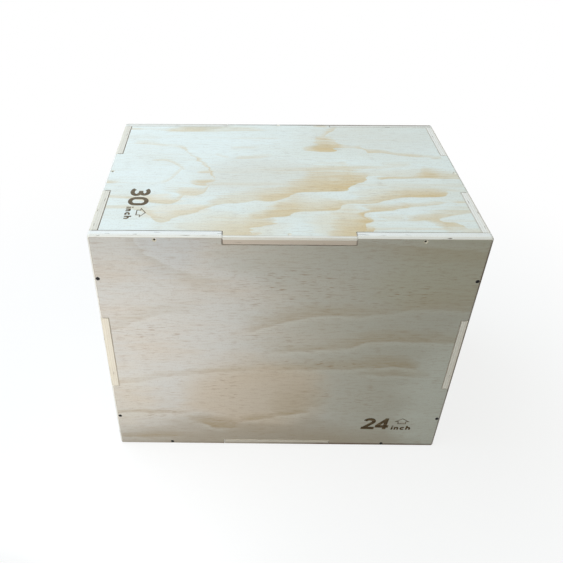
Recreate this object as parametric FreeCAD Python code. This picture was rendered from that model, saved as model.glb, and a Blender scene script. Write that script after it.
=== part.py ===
"""Plyometric jump box that stands 24, 30 or 20 inches high.

Six finger-jointed plywood panels and an inner brace, held by countersunk wood screws.
Millimetres, +Z up. The origin is the centre of the footprint, on the floor.
+X runs along the box's length, and its front faces -Y.
"""

import FreeCAD
import Part
import os

# The whole box
BOX_LENGTH = 762.0
BOX_DEPTH = 508.0
BOX_HEIGHT = 609.6
PANEL_THICKNESS = 18.0
EDGE_RADIUS = 6.0

# Finger joints: the middle finger's share of each edge, the gaps at its sides and under it,
# and the chamfer that eases every cut edge of a panel
FINGER_SHARE = 1 / 3
FINGER_SIDE_GAP = 0.8
FINGER_SEAT_GAP = 0.5
CUT_EDGE_CHAMFER = 0.8

# Hand-holes, one through each end panel
HANDHOLE_LENGTH = 120.0
HANDHOLE_HEIGHT = 36.0
HANDHOLE_EDGE_RADIUS = 4.0

# Inner brace, held by a tongue on each of its four edges
BRACE_THICKNESS = 18.0
TONGUE_LENGTH = 6.0
TONGUE_SETBACK = 60.0
GROOVE_GAP = 0.3

# Countersunk wood screws, driven deeper in the top panel's joints, clear of the landing face
SCREW_LENGTH = 50.0
SCREW_TIP_LENGTH = 6.0
SCREW_SHANK_DIAMETER = 4.2
SCREW_HEAD_DIAMETER = 8.4
SCREW_HEAD_RIM = 0.5
SCREW_SINK = 0.4
TOP_SCREW_SINK = 2.5
SCREW_HOLE_GAP = 0.05
DRIVE_SPAN = 4.6
DRIVE_WIDTH = 1.3
DRIVE_DEPTH = 1.8

# How far a cutting tool runs past the face that it cuts
OVERRUN = 1.0

Vector = FreeCAD.Vector
X = Vector(1, 0, 0)
Y = Vector(0, 1, 0)
Z = Vector(0, 0, 1)
ORIGIN = Vector(0, 0, 0)
FULL_TURN = 360

# Each face's directions: along the panel, up the panel, and out of the box
FACES = {
    "front": (X, Z, -Y),
    "back": (-X, Z, Y),
    "left_end": (-Y, Z, -X),
    "right_end": (Y, Z, X),
    "bottom": (X, -Y, -Z),
    "top": (X, Y, Z),
}

# Where two panels meet, the lower rank has the corners and the two outer fingers,
# and the higher rank has the middle finger
RANKS = {"front": 0, "back": 0, "left_end": 1, "right_end": 1, "bottom": 2, "top": 2}

HALF_SIZES = Vector(BOX_LENGTH, BOX_DEPTH, BOX_HEIGHT) / 2
BOX_CENTRE = Z * HALF_SIZES.z


def half_size(direction):
    """Half the box's size along a direction of its frame."""
    return abs(direction.dot(HALF_SIZES))


def inner_half(direction):
    """Half the room between two opposite panels."""
    return half_size(direction) - PANEL_THICKNESS


def on_face(shape, face):
    """Moves a shape made flat, with its outer side at z = 0, onto a face of the box."""
    along, up, out = FACES[face]
    placed = shape.copy()
    placed.Placement = FreeCAD.Placement(
        BOX_CENTRE + out * half_size(out), FreeCAD.Rotation(along, up, out, "XYZ")
    )
    return placed


def has_outer_fingers(face, direction):
    """Whether a panel has the outer fingers, and a notch between them, on the edge in a direction."""
    neighbour = max(FACES, key=lambda other: FACES[other][2].dot(direction))
    return RANKS[face] < RANKS[neighbour]


def edge_reach(face, direction):
    """How far a panel reaches in a direction: in its outer stretches, and in its middle one."""
    fingertip = half_size(direction)
    notch_floor = inner_half(direction) - FINGER_SEAT_GAP
    if has_outer_fingers(face, direction):
        return fingertip, notch_floor
    return notch_floor, fingertip


def edge_middle(face, direction, run):
    """Half the length of the middle finger, or of its notch, on an edge that runs along run."""
    notch = FINGER_SHARE * half_size(run)
    if has_outer_fingers(face, direction):
        return notch
    return notch - FINGER_SIDE_GAP


def stepped_plate(side_reach, side_middle, end_reach, end_middle, thickness):
    """A plate with one step, out or in, in the middle of each edge, extruded down from z = 0.

    A reach is (outer, middle) from the plate's centre, and a middle is half the step's length.
    """
    quarter = [
        (side_reach[1], side_middle),
        (side_reach[0], side_middle),
        (side_reach[0], end_reach[0]),
        (end_middle, end_reach[0]),
        (end_middle, end_reach[1]),
    ]
    points = []
    for sign_x, sign_y in ((1, 1), (-1, 1), (-1, -1), (1, -1)):
        ordered = quarter if sign_x == sign_y else reversed(quarter)
        points += [Vector(sign_x * x, sign_y * y, 0) for x, y in ordered]
    outline = Part.Face(Part.makePolygon(points + points[:1]))
    return outline.extrude(-Z * thickness)


def finger_panel(face):
    """A panel's plate, with fingers and notches for its four neighbours."""
    along, up, _ = FACES[face]
    plate = stepped_plate(
        edge_reach(face, along),
        edge_middle(face, along, up),
        edge_reach(face, up),
        edge_middle(face, up, along),
        PANEL_THICKNESS,
    )
    return plate.makeChamfer(CUT_EDGE_CHAMFER, plate.Edges)


def handhole_cutter():
    """A round-ended bar that runs past both sides of a panel."""
    end_radius = HANDHOLE_HEIGHT / 2
    end_centre = HANDHOLE_LENGTH / 2 - end_radius
    curves = []
    for side in (1, -1):
        lower = Vector(side * end_centre, -side * end_radius, 0)
        upper = Vector(side * end_centre, side * end_radius, 0)
        tip = Vector(side * HANDHOLE_LENGTH / 2, 0, 0)
        across = Vector(-side * end_centre, side * end_radius, 0)
        curves += [Part.Arc(lower, tip, upper), Part.LineSegment(upper, across)]
    outline = Part.Face(Part.Wire([curve.toShape() for curve in curves]))
    cutter = outline.extrude(-Z * (PANEL_THICKNESS + OVERRUN * 2))
    cutter.translate(Z * OVERRUN)
    return cutter


def with_handhole(plate):
    """Cuts a hand-hole through a plate's middle and rounds its rims."""
    cutter = handhole_cutter()
    opened = plate.cut(cutter)
    rims = [
        edge
        for edge in opened.Edges
        if edge.BoundBox.ZLength < OVERRUN and cutter.isInside(edge.CenterOfMass, OVERRUN, True)
    ]
    return opened.makeFillet(HANDHOLE_EDGE_RADIUS, rims)


def brace():
    """The brace across the middle of the box, with a tongue on each edge."""
    shoulders = [inner_half(direction) - GROOVE_GAP for direction in (Y, Z)]
    tongue_halves = [shoulder - TONGUE_SETBACK for shoulder in shoulders]
    reaches = [(shoulder, shoulder + TONGUE_LENGTH) for shoulder in shoulders]
    plate = stepped_plate(reaches[0], tongue_halves[1], reaches[1], tongue_halves[0], BRACE_THICKNESS)
    plate.Placement = FreeCAD.Placement(
        BOX_CENTRE + X * BRACE_THICKNESS / 2, FreeCAD.Rotation(Y, Z, X, "XYZ")
    )
    return plate


def brace_groove(face):
    """The stopped groove that a brace tongue sits in, cut into a panel's inner side."""
    _, up, _ = FACES[face]
    width = BRACE_THICKNESS + GROOVE_GAP * 2
    length = (inner_half(up) - TONGUE_SETBACK) * 2
    corner = Vector(-width / 2, -length / 2, -PANEL_THICKNESS - OVERRUN)
    return Part.makeBox(width, length, TONGUE_LENGTH + OVERRUN, corner)


def screw_body(sink, gap, top):
    """A screw grown by a gap, from z = top down, sunk into a panel whose face is at z = 0."""
    head = SCREW_HEAD_DIAMETER / 2 + gap
    shank = SCREW_SHANK_DIAMETER / 2 + gap
    rim_end = -sink - SCREW_HEAD_RIM
    point = -sink - SCREW_LENGTH - gap
    points = [
        Vector(0, 0, top),
        Vector(head, 0, top),
        Vector(head, 0, rim_end),
        Vector(shank, 0, rim_end - head + shank),
        Vector(shank, 0, point + SCREW_TIP_LENGTH),
        Vector(0, 0, point),
    ]
    section = Part.Face(Part.makePolygon(points + points[:1]))
    return section.revolve(ORIGIN, Z, FULL_TURN)


def screw(sink):
    """One countersunk screw with a cross drive, as it lies under a panel's face at z = 0."""
    body = screw_body(sink, 0, -sink)
    for length, width in ((DRIVE_SPAN, DRIVE_WIDTH), (DRIVE_WIDTH, DRIVE_SPAN)):
        corner = Vector(-length / 2, -width / 2, -sink - DRIVE_DEPTH)
        body = body.cut(Part.makeBox(length, width, DRIVE_DEPTH + OVERRUN, corner))
    return body


def screw_places(first, second):
    """The screws of one edge: (panel with the head, panel that it bites into, offset in the face).

    Each screw goes through the middle of one finger.
    """
    run = FACES[first][2].cross(FACES[second][2])
    outer_shift = half_size(run) * (1 + FINGER_SHARE) / 2
    for holder, taker, shifts in ((first, second, (-outer_shift, outer_shift)), (second, first, (0,))):
        out = FACES[taker][2]
        to_edge = out * (half_size(out) - PANEL_THICKNESS / 2)
        for shift in shifts:
            yield holder, taker, to_edge + run * shift


def placed_at(shape, face, offset):
    """A shape on a face, moved within it."""
    placed = on_face(shape, face)
    placed.translate(offset)
    return placed


def screws_and_holes():
    """The screws of each edge, by node name, and each panel's screw holes."""
    screws = {}
    holes = {face: [] for face in FACES}
    joints = [(first, second) for first in FACES for second in FACES if RANKS[first] < RANKS[second]]
    for first, second in joints:
        sink = TOP_SCREW_SINK if second == "top" else SCREW_SINK
        one_screw = screw(sink)
        one_hole = screw_body(sink, SCREW_HOLE_GAP, OVERRUN)
        group = []
        for holder, taker, offset in screw_places(first, second):
            group.append(placed_at(one_screw, holder, offset))
            hole = placed_at(one_hole, holder, offset)
            holes[holder].append(hole)
            holes[taker].append(hole)
        screws[f"{first}_{second}_screws"] = Part.makeCompound(group)
    return screws, holes


def rounded_envelope():
    """The assembled box's outside, with every outer edge rounded over."""
    corner = Vector(-HALF_SIZES.x, -HALF_SIZES.y, 0)
    block = Part.makeBox(BOX_LENGTH, BOX_DEPTH, BOX_HEIGHT, corner)
    return block.makeFillet(EDGE_RADIUS, block.Edges)


def panel(face, envelope, holes):
    """One finished panel in its place: the ends have hand-holes, and the rest hold the brace."""
    plate = finger_panel(face)
    if face.endswith("_end"):
        plate = with_handhole(plate)
    else:
        plate = plate.cut(brace_groove(face))
    return on_face(plate, face).common(envelope).cut(holes)


def main():
    os.makedirs("parts", exist_ok=True)
    envelope = rounded_envelope()
    nodes, holes = screws_and_holes()
    nodes["inner_brace"] = brace()
    for face in FACES:
        nodes[f"{face}_panel"] = panel(face, envelope, holes[face])
    for name, shape in sorted(nodes.items()):
        shape.exportStep(f"parts/{name}.step")
        print(f"{name}: {len(shape.Solids)} solids, {shape.Volume:.0f} mm3, valid {shape.isValid()}")


main()
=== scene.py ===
"""Looks of a plywood jump box: figured pine plywood, black screws and burnt-in height marks.

Metres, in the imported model's frame: +Z up, and the box's front faces -Y.
"""

import math
import random
from collections import namedtuple

import bmesh
import bpy
from mathutils import Euler, Matrix, Vector

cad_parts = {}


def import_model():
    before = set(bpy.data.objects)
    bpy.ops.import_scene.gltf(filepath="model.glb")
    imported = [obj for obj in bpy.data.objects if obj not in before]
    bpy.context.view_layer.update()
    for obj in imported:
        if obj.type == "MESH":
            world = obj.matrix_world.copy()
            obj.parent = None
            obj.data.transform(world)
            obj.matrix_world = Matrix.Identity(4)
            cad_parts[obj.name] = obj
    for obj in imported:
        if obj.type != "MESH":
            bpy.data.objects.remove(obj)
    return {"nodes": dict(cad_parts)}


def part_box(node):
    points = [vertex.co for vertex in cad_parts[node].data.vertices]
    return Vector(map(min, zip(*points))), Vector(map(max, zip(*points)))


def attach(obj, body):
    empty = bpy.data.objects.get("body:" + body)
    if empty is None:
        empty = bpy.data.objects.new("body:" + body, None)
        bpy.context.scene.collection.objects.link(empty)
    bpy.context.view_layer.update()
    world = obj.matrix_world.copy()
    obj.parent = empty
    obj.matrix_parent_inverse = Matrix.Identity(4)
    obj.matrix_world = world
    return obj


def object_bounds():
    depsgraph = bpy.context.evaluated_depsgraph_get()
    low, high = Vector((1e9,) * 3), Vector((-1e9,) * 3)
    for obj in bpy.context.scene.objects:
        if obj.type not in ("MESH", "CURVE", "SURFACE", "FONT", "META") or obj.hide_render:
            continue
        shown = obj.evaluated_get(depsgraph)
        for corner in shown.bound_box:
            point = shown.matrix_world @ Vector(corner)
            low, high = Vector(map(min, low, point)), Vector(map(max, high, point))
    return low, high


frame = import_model()
CAD_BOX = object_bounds()
LOW, HIGH = CAD_BOX
SIZE = HIGH - LOW
BODY = "root"
X, Y, Z = range(3)
MM = 0.001

# The photograph's camera
IMAGE_SIZE = 563
SENSOR_WIDTH = 36.0
FOCAL_PIXELS = 635.1
PICTURE_CENTRE_X = 233.3
CAMERA_PLACE = (-0.093, -1.2419, 1.2668)
CAMERA_PITCH_DEG = -37.68
CAMERA_TURN_DEG = 0.727

# Lamps, and a soft light from all round that is brighter from the left
Lamp = namedtuple("Lamp", "place aim size power colour")
LAMPS = {
    "overhead": Lamp((-1.2, 0.5, 2.5), (0, 0, 0.6), 2.2, 39.8, (0.85, 1.0, 1.22)),
    "key": Lamp((-0.4, -0.6, 0.34), (-0.3, -0.25, 0.34), 0.6, 1.42, (1.0, 0.985, 0.98)),
    "front": Lamp((0.3, -2.4, 1.0), (0, -0.2, 0.4), 1.6, 10.0, (1.0, 1.0, 0.97)),
}
AMBIENT = (0.39, 0.413, 0.36, 1)
AMBIENT_LEFT, AMBIENT_RIGHT = 1.6, 0.4

# The floor near the box shows its shadow, and fades into a white backdrop further out.
# It lies just below the box, clear of its underside
FLOOR_SIZE = 40.0
FLOOR_DROP = 0.2 * MM
FLOOR_GREY = 0.2
FLOOR_GLOW = 0.8
FLOOR_FADE = (0.55, 1.5)

# Plywood: a thin veneer on each face, and crossed plies between them,
# which change from the outer colour to the inner one between two depths
SHEET_THICKNESS = 18 * MM
FACE_VENEER = 0.2 * MM
VENEER_EDGE = 0.1 * MM
FACE_GLUE = 0.18 * MM
PLY = 2.314 * MM
GLUE_LINE = 0.28 * MM
PLY_TURN = (6 * MM, 9 * MM)
ROUND_OVER = 6 * MM

# Seams are eased edges: how far their normals lean from an axis, how near a face they lie,
# and how far they stay from the round-overs. Their darkening, painted shade in the joints' gaps together
# with dirt, is least near the floor, and where the top panel's joints are tight, at its right and along its
# back
SEAM_LEAN = (0.96, 0.9)
SEAM_DEPTH = (1.5 * MM, 1 * MM)
SEAM_CLEARANCE = 1.5 * MM
SEAM_HEIGHTS = (0.15, 0.5)
LOW_SEAM_SHADE_AND_DIRT = 0.3
TIGHT_TOP = (9 * MM, 6 * MM)
TIGHT_RIGHT = (0.13, 0.25)
TIGHT_RIGHT_SHARE = 0.55
TIGHT_BACK = (24 * MM, 20 * MM)
TIGHT_BACK_SHARE = 0.8

# Darkening on the rims at the floor, along the back and up the right, between two distances from
# the box's sides: painted shade at the floor and up the right, and a dark line along the back.
# At the floor and the back it grows towards the right
RIM_DARKENING_GROWS = (-0.26, 0.1)
LEAST_RIM_DARKENING = 0.15
FLOOR_CONTACT_SHADE = (11 * MM, 8 * MM)
BACK_RIM_LINE = (11 * MM, 8.5 * MM)
BACK_RIM_LINE_DROP = (4 * MM, 0.0)
RIGHT_RIM_SHADE = (6 * MM, 3.5 * MM)
RIGHT_RIM_SHADE_DEPTH = (9 * MM, 6 * MM)
RIGHT_RIM_SHADE_DROP = (4 * MM, 8 * MM)

# Layers of a material's noise: features per metre along the grain, across it and through the sheet,
# or along X, Y and Z where there is no grain, the noise's detail, the noise at which a layer
# starts to show and shows most, and its strength there
Layer = namedtuple("Layer", "along across through detail start end strength", defaults=(0, 2.0, 0, 1, 1))
STREAKS = Layer(7, 130)
TEETH = Layer(6, 55)
WAVES = Layer(22, 14, strength=0.016)
DRIFTS = Layer(6, 16, detail=3.0, strength=0.2)
CLOUDS = Layer(3, 9, 0, 3.0, -0.15, 0.25)
DASHES = Layer(42, 220, 0, 2.0, -0.02, 0.3, 0.26)
CROWDS = Layer(4, 9, 0, 2.0, -0.05, 0.2, 0.75)
FLECKS = Layer(42, 340, 0, 1.0, 0.08, 0.24, 0.65)
FIBRES = Layer(20, 420, 420, 3.0, 0.0, -0.35, 0.26)
PORES = Layer(260, 420, 0, 1.0, 0.0, 0.3, 0.2)
LONG_GRAIN = Layer(15, 500, 900, 3.0, 0.02, 0.35, 0.2)
END_GRAIN = Layer(700, 700, 700, 2.0, 0.0, 0.35, 0.4)
GLUE_BREAKS = Layer(18, 18, 300, 2.0, -0.12, 0.2, 0.5)
PLY_GAPS = Layer(34, 34, 420, 1.0, 0.2, 0.26, 0.8)
LEAST_GLUE = 0.25
CROSS_TINT = 0.2

# How much the streaks change the clouds, how far a ring fades and how tan it is,
# and how tan it is without them
STREAK_CLOUDS, STREAK_FADE, STREAK_TAN = 0.3, 1.2, 0.8
RING_TAN = 0.9

# Patchy darkening in the seams and on the rims: the noise's limits, and the shares there
SEAM_PATCHES = Layer(14, 14, 14)
RIM_DARKENING_PATCHES = Layer(11, 11, 11)
PATCHY = (-0.2, 0.2)
SEAM_SHADE_AND_DIRT = (0.45, 0.95)
RIM_DARKENING_SHARES = (0.55, 0.95)

# The grain's relief: its height, and the fibres' and streaks' shares of it
GRAIN_HEIGHT = 0.25 * MM
FIBRE_RELIEF, STREAK_RELIEF = 0.7, 0.5

# Filler, burnt marks and screws: their noises, the noise at which a burn starts to look worn
# and is most worn, and the heights of their reliefs
FLOUR = Layer(1400, 1400, 1400, 3.0, -0.05, 0.3)
PITS = Layer(1100, 1100, 1100, 3.0)
BURN_STREAKS = Layer(60, 400, 400, 3.0)
BURN_PATCHES = Layer(45, 90, 90)
BURN_WORN = (-0.15, 0.4)
SCREW_RUBS = Layer(900, 900, 900, 3.0, 0.05, 0.3)
SCREW_GRIT = Layer(2500, 2500, 2500)
PIT_HEIGHT, BURN_HEIGHT, GRIT_HEIGHT = 0.12 * MM, 0.1 * MM, 0.05 * MM


def srgb(red, green, blue):
    """A colour from 0 to 255, as the linear values that Blender's sockets take."""
    channels = [value / 255 for value in (red, green, blue)]
    linear = [c / 12.92 if c <= 0.04045 else ((c + 0.055) / 1.055) ** 2.4 for c in channels]
    return (*linear, 1.0)


WHITE = (1, 1, 1, 1)
CROSS_PLY = srgb(214, 196, 170)
GLUE = srgb(160, 132, 104)
FACE_GLUE_BROWN = srgb(112, 84, 60)
GAP_DARK = srgb(96, 72, 50)
# Painted shade with dirt: the brown that darkens the seams and some rims
SHADE_AND_DIRT_BROWN = srgb(100, 78, 60)
FLECK = srgb(150, 116, 84)
RIM_PALE = srgb(238, 238, 232)
RIM_STRENGTH = 0.3
PUTTY = srgb(240, 234, 220)
PUTTY_DARK = srgb(206, 186, 154)
SCREW_BLACK = srgb(26, 24, 23)
SCREW_WEAR = srgb(74, 62, 52)
MARK_BROWN = srgb(72, 58, 39)
MARK_WORN = srgb(128, 110, 84)
MARK_PALE = srgb(98, 83, 64)
MARK_PALE_WORN = srgb(146, 132, 110)

# Filler at the top panel's screws, as turned profiles in millimetres: (radius, height from the face).
# All of one screw lies within SCREW_REACH of any of its points
SCREW_REACH = 60 * MM
FILLER_SEGMENTS = 24
PLUG_MM = ((0, -1.3), (1.6, -1.15), (3.2, -0.6), (4.2, -0.1), (4.2, -2.4), (0, -2.4))
COLLAR_MM = ((2.2, -1.7), (3.2, -0.9), (4.2, -0.1), (4.2, -2.4), (2.2, -2.4))

# Height marks: how far they stand out of a face, how much less each further stroke of a sign does,
# the strokes' widths in millimetres, and the limit that keeps a sharp corner short
ARC_STEP_DEG = 12
MARK_PROUD = 0.1 * MM
STROKE_STEP = 0.01 * MM
DIGIT_STROKE, UNIT_STROKE, ARROW_STROKE = 8.9, 4.3, 2.0
LEAST_MITRE = 0.4


def arc(x, y, half_wide, half_high, start, end):
    """Points along part of an ellipse, between two angles in degrees."""
    count = max(2, round(abs(end - start) / ARC_STEP_DEG))
    angles = [math.radians(start + (end - start) * step / count) for step in range(count + 1)]
    return [(x + half_wide * math.cos(angle), y + half_high * math.sin(angle)) for angle in angles]


# Each sign's room, and the lines down the middle of its strokes, in millimetres
SIGNS = {
    "0": (33, [arc(16.5, 26, 12, 11, 180, 0) + arc(16.5, 15, 12, 11, 0, -180) + [(4.5, 26)]]),
    "2": (32, [arc(15.5, 27.6, 10.2, 7.6, 168, -35) + [(4.6, 4.3)], [(0, 4.1), (31, 4.1)]]),
    "3": (36.5, [arc(15, 29.2, 11, 7.7, 152, -90) + [(11, 21.5)], arc(15, 12.7, 12.5, 8.8, 90, -152)]),
    "4": (31.5, [[(22.8, 35.4), (3.6, 12)], [(0, 10.3), (31.5, 10.3)], [(22.8, 39.4), (22.8, 0)]]),
    "i": (6.9, [[(1.7, 0), (1.7, 9.4)], [(1.7, 11.2), (1.7, 14.2)]]),
    "n": (13.8, [[(1.7, 0), (1.7, 9.4)], arc(5, 5.3, 3.3, 2.6, 180, 0) + [(8.3, 0)]]),
    "c": (13.3, [arc(5.8, 4.8, 4.2, 3.4, 40, 320)]),
    "h": (10.5, [[(1.9, 0), (1.9, 14.2)], arc(5.6, 5.3, 3.7, 2.6, 180, 0) + [(9.3, 0)]]),
    "^": (33, [[(16.5, 18.6), (32, 8.6), (25.5, 8.6), (25.5, 1), (7.5, 1), (7.5, 8.6), (1, 8.6),
                (16.5, 18.6)]]),
}
# A mark's words: the signs, their stroke and slant, and their corner's place in the mark
Word = namedtuple("Word", "signs stroke slant right up")
FRONT_MARK = [
    Word("24", DIGIT_STROKE, 0.113, 0, 3),
    Word("inch", UNIT_STROKE, 0.113, 72, 2),
    Word("^", ARROW_STROKE, 0, 78.5, 22.5),
]
FRONT_MARK_CORNER = Vector((LOW.x + 0.759 * SIZE.x, LOW.y, LOW.z + 0.097 * SIZE.z))
TOP_MARK = [
    Word("30", DIGIT_STROKE, 0, 0, 2),
    Word("inch", UNIT_STROKE, 0, 75, 2),
    Word("^", ARROW_STROKE, 0, 80, 23.5),
]
TOP_MARK_CORNER = Vector((LOW.x + 0.0775 * SIZE.x, LOW.y + 0.353 * SIZE.y, HIGH.z))

# A veneer's colours: its early wood, its cloudy stretches and its tan late wood,
# how plainly its short dark flecks show, and how soft and how broken its rings are
Veneer = namedtuple("Veneer", "early cloud late flecks edge broken")
COOL_PINE = Veneer(srgb(240, 244, 239), srgb(234, 235, 226), srgb(222, 195, 148), 0.6, 0.008, 0.6)
GREY_PINE = Veneer(srgb(214, 212, 209), srgb(213, 204, 194), srgb(173, 153, 121), 1.0, 0.012, 1.6)
CREAM_PINE = Veneer(srgb(234, 228, 212), srgb(222, 214, 194), srgb(212, 182, 138), 0.8, 0.01, 0.8)

# A growth ring, in shares of the panel: the line of its sharp edge as (along, across) the grain,
# how far its tan wood fades out behind the line and how strong it is, both as (along, share),
# how ragged the line is, and the side of it that is tan. A pale rim runs along the other side,
# as wide as RIM_REACH soft edges. The lines were chosen one by one
ABOVE, BELOW = 1, -1
Ring = namedtuple("Ring", "line fades strengths teeth side", defaults=(ABOVE,))
FADE_POWER = 1.5
LEAST_FADE = 0.006
RIM_REACH = 3

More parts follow.
